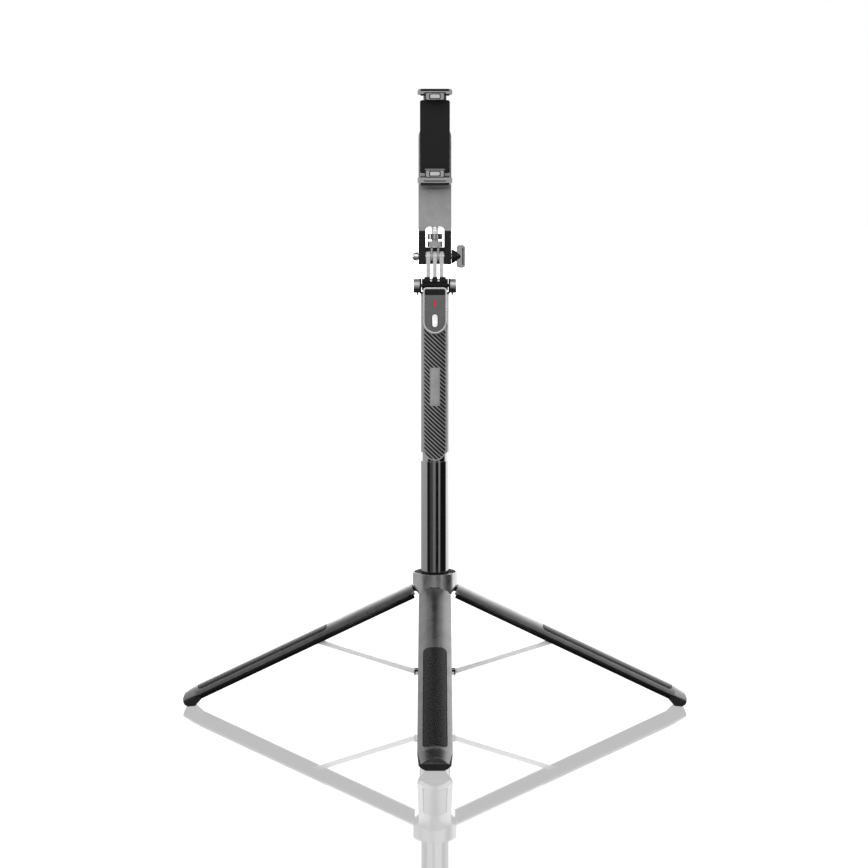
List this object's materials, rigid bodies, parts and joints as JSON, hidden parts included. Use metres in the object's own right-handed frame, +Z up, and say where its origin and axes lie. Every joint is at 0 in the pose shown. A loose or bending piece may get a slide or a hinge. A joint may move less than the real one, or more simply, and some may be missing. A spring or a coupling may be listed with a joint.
{
  "type": "selfie stick",
  "caption": "Telescoping stick on folding braced legs, with a ribbed grip, a clip-on remote, a tilting head and a sprung clamp for a phone.",
  "frame": {"origin": "on the ground, on the axis of the pole, midway between the four feet", "axes": "+Z up along the pole; the remote and the phone face -Y; the legs point to -Y, +X, +Y and -X"},
  "size_m": [0.4506, 0.4506, 0.546],
  "materials": {
    "gunmetal_skin": "satin anodised",
    "black_gloss_tube": "gloss anodised",
    "black_moulding": "fine texture",
    "black_gloss": "gloss",
    "grey_moulding": "satin",
    "light_grey_moulding": "satin",
    "inlay_rubber": "grained",
    "foot_rubber": "matt",
    "jaw_rubber": "ribbed",
    "bright_chrome": "polished",
    "strut_steel": "brushed",
    "pole_aluminium": "satin anodised",
    "guide_nylon": "plain",
    "remote_grey": "satin",
    "white_button": "gloss",
    "red_window": "gloss",
    "circuit_laminate": "gloss"
  },
  "bodies": {
    "hub": {"hub_ring": "gunmetal_skin", "hub_core": "black_moulding", "hub_guide_bush": "guide_nylon", "leg_hinge_pins": "strut_steel"},
    "column": {"column_tube": "black_gloss_tube", "pole_outer_tube": "black_gloss_tube", "strut_collar": "black_moulding", "grip_back_shell": "grey_moulding", "grip_front_panel": "grey_moulding", "grip_ribs": "black_moulding", "grip_badge": "grey_moulding"},
    "leg_front": {"leg_shell_front": "gunmetal_skin", "leg_liner_front": "black_moulding", "leg_inlay_front": "inlay_rubber", "leg_foot_front": "foot_rubber"},
    "leg_right": {"leg_shell_right": "gunmetal_skin", "leg_liner_right": "black_moulding", "leg_inlay_right": "inlay_rubber", "leg_foot_right": "foot_rubber"},
    "leg_back": {"leg_shell_back": "gunmetal_skin", "leg_liner_back": "black_moulding", "leg_inlay_back": "inlay_rubber", "leg_foot_back": "foot_rubber"},
    "leg_left": {"leg_shell_left": "gunmetal_skin", "leg_liner_left": "black_moulding", "leg_inlay_left": "inlay_rubber", "leg_foot_left": "foot_rubber"},
    "brace_front": {"strut_front": "strut_steel"},
    "brace_right": {"strut_right": "strut_steel"},
    "brace_back": {"strut_back": "strut_steel"},
    "brace_left": {"strut_left": "strut_steel"},
    "remote": {"remote_case": "black_moulding", "remote_bezel": "bright_chrome", "remote_face": "remote_grey", "remote_window": "red_window", "remote_circuit_board": "circuit_laminate", "remote_coin_cell": "strut_steel"},
    "shutter_button": {"remote_button": "white_button"},
    "pole_1": {"pole_section_1": "pole_aluminium"},
    "pole_2": {"pole_section_2": "pole_aluminium"},
    "pole_3": {"pole_section_3": "pole_aluminium"},
    "pole_4": {"pole_section_4": "pole_aluminium", "head_base": "black_moulding", "head_hinge_caps": "bright_chrome", "head_hinge_pin": "strut_steel"},
    "head": {"head_block": "black_moulding", "fork_prongs": "light_grey_moulding", "tilt_bolt": "bright_chrome"},
    "knob": {"tilt_knob": "grey_moulding"},
    "holder": {"two_prong_adapter": "grey_moulding", "camera_screw": "strut_steel", "holder_yoke": "black_gloss", "holder_plate": "grey_moulding", "swivel_rivet": "strut_steel"},
    "disc": {"locking_disc": "strut_steel"},
    "clamp": {"clamp_housing": "black_moulding", "lower_jaw": "grey_moulding", "lower_jaw_pad": "jaw_rubber"},
    "jaw": {"upper_jaw": "grey_moulding", "upper_jaw_pad": "jaw_rubber"}
  },
  "joints": [
    {"name": "column_slide", "type": "slide", "parent": "hub", "child": "column", "axis": [0, 0, -1], "range_m": [0, 0.13263]},
    {"name": "leg_fold_front", "type": "hinge", "parent": "hub", "child": "leg_front", "pos_m": [0, -0.0163, 0.1077], "axis": [1, 0, 0], "range_deg": [0, 64.45]},
    {"name": "leg_fold_right", "type": "hinge", "parent": "hub", "child": "leg_right", "pos_m": [0.0163, 0, 0.1077], "axis": [0, 1, 0], "range_deg": [0, 64.45]},
    {"name": "leg_fold_back", "type": "hinge", "parent": "hub", "child": "leg_back", "pos_m": [0, 0.0163, 0.1077], "axis": [-1, 0, 0], "range_deg": [0, 64.45]},
    {"name": "leg_fold_left", "type": "hinge", "parent": "hub", "child": "leg_left", "pos_m": [-0.0163, 0, 0.1077], "axis": [0, -1, 0], "range_deg": [0, 64.45]},
    {"name": "brace_fold_front", "type": "hinge", "parent": "leg_front", "child": "brace_front", "pos_m": [0, -0.1137, 0.06103], "axis": [-1, 0, 0], "range_deg": [0, 136.86]},
    {"name": "brace_fold_right", "type": "hinge", "parent": "leg_right", "child": "brace_right", "pos_m": [0.1137, 0, 0.06103], "axis": [0, -1, 0], "range_deg": [0, 136.86]},
    {"name": "brace_fold_back", "type": "hinge", "parent": "leg_back", "child": "brace_back", "pos_m": [0, 0.1137, 0.06103], "axis": [1, 0, 0], "range_deg": [0, 136.86]},
    {"name": "brace_fold_left", "type": "hinge", "parent": "leg_left", "child": "brace_left", "pos_m": [-0.1137, 0, 0.06103], "axis": [0, 1, 0], "range_deg": [0, 136.86]},
    {"name": "pole_slide_1", "type": "slide", "parent": "column", "child": "pole_1", "axis": [0, 0, 1], "range_m": [0, 0.29]},
    {"name": "pole_slide_2", "type": "slide", "parent": "pole_1", "child": "pole_2", "axis": [0, 0, 1], "range_m": [0, 0.29]},
    {"name": "pole_slide_3", "type": "slide", "parent": "pole_2", "child": "pole_3", "axis": [0, 0, 1], "range_m": [0, 0.29]},
    {"name": "pole_slide_4", "type": "slide", "parent": "pole_3", "child": "pole_4", "axis": [0, 0, 1], "range_m": [0, 0.29]},
    {"name": "head_fold", "type": "hinge", "parent": "pole_4", "child": "head", "pos_m": [0, 0, 0.3762], "axis": [1, 0, 0], "range_deg": [-90, 0]},
    {"name": "holder_tilt", "type": "hinge", "parent": "head", "child": "holder", "pos_m": [0, 0, 0.4017], "axis": [1, 0, 0], "range_deg": [-25, 90]},
    {"name": "knob_turn", "type": "hinge", "parent": "head", "child": "knob", "pos_m": [0, 0, 0.4017], "axis": [1, 0, 0], "continuous": true},
    {"name": "disc_turn", "type": "hinge", "parent": "holder", "child": "disc", "pos_m": [0, 0, 0.419], "axis": [0, 0, 1], "continuous": true},
    {"name": "clamp_turn", "type": "hinge", "parent": "holder", "child": "clamp", "pos_m": [0, 0, 0.50475], "axis": [0, 1, 0], "range_deg": [-90, 90]},
    {"name": "jaw_slide", "type": "slide", "parent": "clamp", "child": "jaw", "axis": [0, 0, 1], "range_m": [0, 0.02], "stiffness_N_per_m": 120, "springref_m": -0.02},
    {"name": "remote_release", "type": "slide", "parent": "column", "child": "remote", "axis": [0, -1, 0], "range_m": [0, 0.03]},
    {"name": "button_press", "type": "slide", "parent": "remote", "child": "shutter_button", "axis": [0, 1, 0], "range_m": [0, 0.0006], "stiffness_N_per_m": 500, "springref_m": -0.001}
  ],
  "couplings": [
    {"joint": "leg_fold_front", "follows": "column_slide", "rad_per_m": 8.4748},
    {"joint": "leg_fold_right", "follows": "column_slide", "rad_per_m": 8.4748},
    {"joint": "leg_fold_back", "follows": "column_slide", "rad_per_m": 8.4748},
    {"joint": "leg_fold_left", "follows": "column_slide", "rad_per_m": 8.4748},
    {"joint": "brace_fold_front", "follows": "column_slide", "rad_per_m": 18.003},
    {"joint": "brace_fold_right", "follows": "column_slide", "rad_per_m": 18.003},
    {"joint": "brace_fold_back", "follows": "column_slide", "rad_per_m": 18.003},
    {"joint": "brace_fold_left", "follows": "column_slide", "rad_per_m": 18.003}
  ]
}
